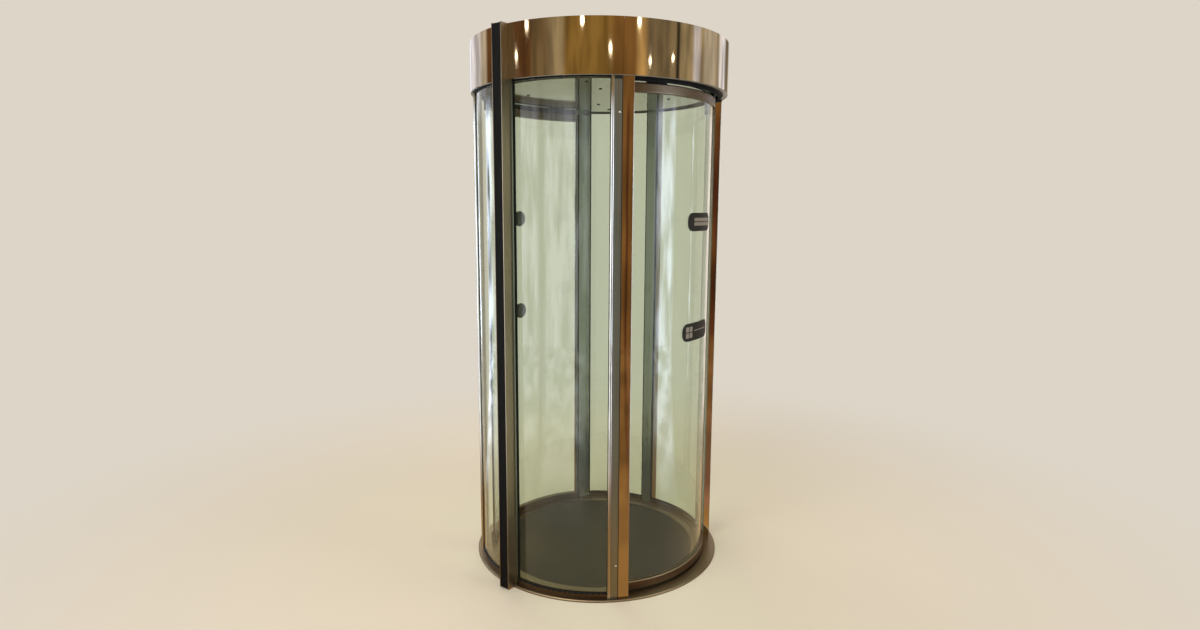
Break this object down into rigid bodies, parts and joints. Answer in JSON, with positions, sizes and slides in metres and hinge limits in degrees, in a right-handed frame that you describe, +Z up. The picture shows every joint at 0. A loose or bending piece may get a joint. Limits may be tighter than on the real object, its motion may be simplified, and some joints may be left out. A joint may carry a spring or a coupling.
{
  "type": "round entrance booth with two curved sliding doors",
  "caption": "Free-standing glass drum under a polished round header, with curved doors sliding round inside it at opposite doorways.",
  "frame": {"origin": "on the floor under the middle of the drum", "axes": "+Z up along the drum's axis; the front doorway faces -Y, the rear doorway +Y, and the wall line runs along X"},
  "size_m": [1.204, 1.1398, 2.3],
  "materials": {
    "mirror_steel": "mirror-polished stainless steel, slightly warm",
    "satin_steel": "satin stainless steel, vertical grain",
    "clear_glass": "clear laminated safety glass with a light green edge",
    "dark_mat": "dark grey textile entrance mat",
    "black_rubber": "black brush and rubber seals",
    "black_plastic": "black moulded plastic",
    "black_aluminium": "black anodised aluminium",
    "painted_sheet": "grey powder-coated sheet steel",
    "plate_plastic": "dark plate with a paler blank field",
    "carriage_steel": "zinc-plated steel",
    "wheel_plastic": "pale nylon wheels"
  },
  "bodies": {
    "booth": {"base_ring": "satin_steel", "mat_rim": "satin_steel", "floor_mat": "dark_mat", "sill_channels": "satin_steel", "head_channels": "satin_steel", "brush_seals": "black_rubber", "doorway_head_blocks": "black_plastic", "wall_posts": "satin_steel", "wall_channels": "satin_steel", "post_covers_front": "mirror_steel", "post_covers_rear": "mirror_steel", "header_panel_front": "mirror_steel", "header_panel_right": "mirror_steel", "header_panel_rear": "mirror_steel", "header_panel_left": "mirror_steel", "track_ring": "black_aluminium", "header_cover": "painted_sheet", "header_beams": "painted_sheet", "ceiling_frame": "black_aluminium", "ceiling_panel": "mirror_steel", "ceiling_spots": "black_plastic", "fixed_pane_front_right": "clear_glass", "post_front_right": "satin_steel", "fixed_pane_front_left": "clear_glass", "post_front_left": "satin_steel", "fixed_pane_rear_left": "clear_glass", "post_rear_left": "satin_steel", "fixed_pane_rear_right": "clear_glass", "post_rear_right": "satin_steel"},
    "front_door": {"front_door_glass": "clear_glass", "front_door_top_rail": "satin_steel", "front_door_bottom_rail": "satin_steel", "front_door_end_blocks": "black_plastic", "front_door_edge_seals": "black_rubber", "front_door_plates": "plate_plastic", "front_door_carriages": "carriage_steel", "front_door_wheels": "wheel_plastic"},
    "rear_door": {"rear_door_glass": "clear_glass", "rear_door_top_rail": "satin_steel", "rear_door_bottom_rail": "satin_steel", "rear_door_end_blocks": "black_plastic", "rear_door_edge_seals": "black_rubber", "rear_door_plates": "plate_plastic", "rear_door_carriages": "carriage_steel", "rear_door_wheels": "wheel_plastic"}
  },
  "joints": [
    {"name": "front_door_slide", "type": "hinge", "parent": "booth", "child": "front_door", "pos_m": [0, 0, 0], "axis": [0, 0, 1], "range_deg": [0, 88]},
    {"name": "rear_door_slide", "type": "hinge", "parent": "booth", "child": "rear_door", "pos_m": [0, 0, 0], "axis": [0, 0, 1], "range_deg": [0, 88]}
  ]
}
